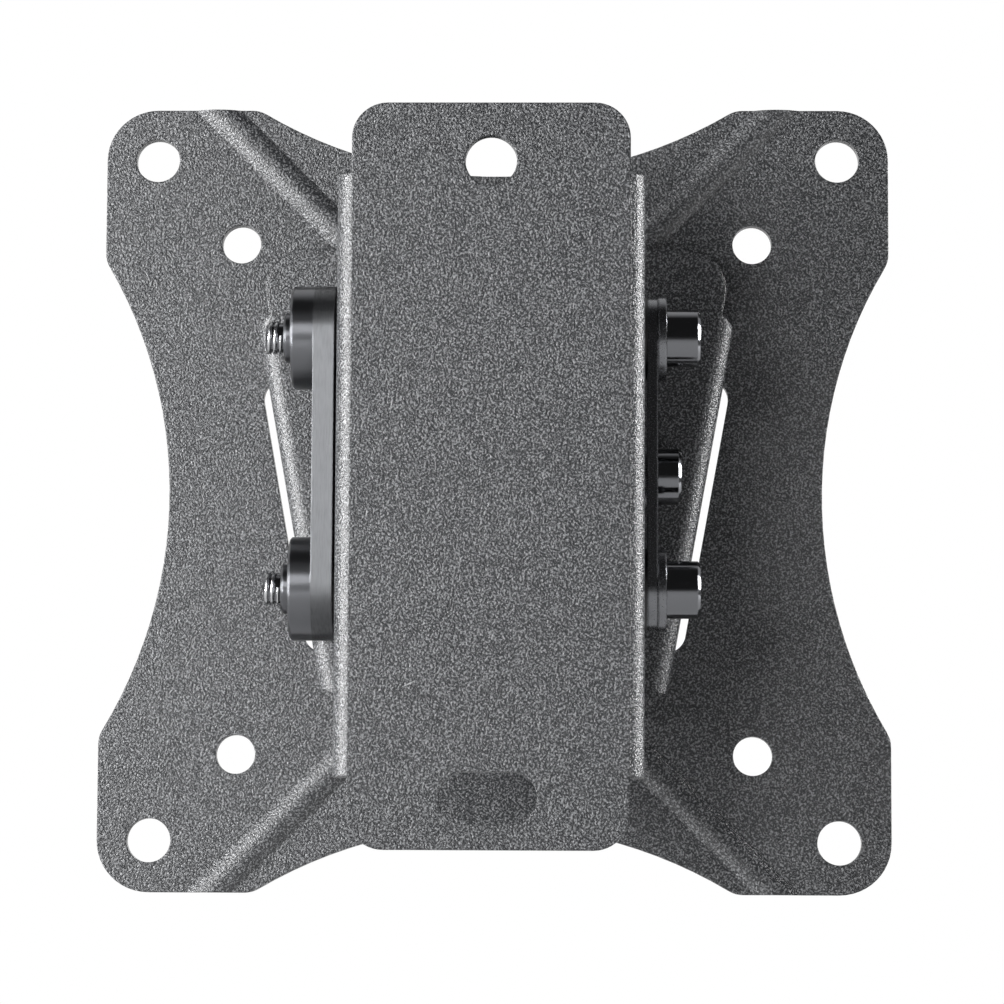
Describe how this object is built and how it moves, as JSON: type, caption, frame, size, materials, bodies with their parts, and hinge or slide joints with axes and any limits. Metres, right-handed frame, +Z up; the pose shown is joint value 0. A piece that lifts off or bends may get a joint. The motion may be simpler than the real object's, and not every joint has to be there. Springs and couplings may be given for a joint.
{
  "type": "tilting screen wall bracket",
  "caption": "Small folded-steel wall bracket that carries a flat screen by its rear hole pattern and tilts it up or down about a pivot bolt, clamped by screws in arc slots.",
  "frame": {"origin": "centre of the wall plate's contact face, on the wall", "axes": "+Y from the wall towards the screen, +Z up, +X to the right for someone who looks along +Y"},
  "size_m": [0.115, 0.0337, 0.115],
  "materials": {
    "powder_coated_steel": "fine textured matt",
    "bright_nut_steel": "smooth",
    "black_screw_steel": "oiled",
    "dark_sheet_steel": "satin",
    "zinc_rivet": "satin",
    "black_nylon": "matt"
  },
  "bodies": {
    "wall": {"wall_plate": "powder_coated_steel", "pivot_bolt": "black_screw_steel", "pivot_washer": "bright_nut_steel", "left_pivot_friction_washer": "black_nylon", "right_pivot_friction_washer": "black_nylon"},
    "head": {"screen_plate": "powder_coated_steel", "head_plate": "powder_coated_steel", "tilt_yoke": "powder_coated_steel", "yoke_rivets": "zinc_rivet", "washer_link": "dark_sheet_steel", "nut_link": "bright_nut_steel", "upper_clamp_bolt": "black_screw_steel", "upper_bolt_washer": "bright_nut_steel", "upper_right_friction_washer": "black_nylon", "upper_left_friction_washer": "black_nylon", "upper_left_ear_washer": "black_nylon", "upper_right_ear_washer": "black_nylon", "lower_clamp_bolt": "black_screw_steel", "lower_bolt_washer": "bright_nut_steel", "lower_right_friction_washer": "black_nylon", "lower_left_friction_washer": "black_nylon", "lower_left_ear_washer": "black_nylon", "lower_right_ear_washer": "black_nylon"}
  },
  "joints": [
    {"name": "tilt", "type": "hinge", "parent": "wall", "child": "head", "pos_m": [0, 0.0234, 0.0022], "axis": [1, 0, 0], "range_deg": [-15, 15]}
  ]
}
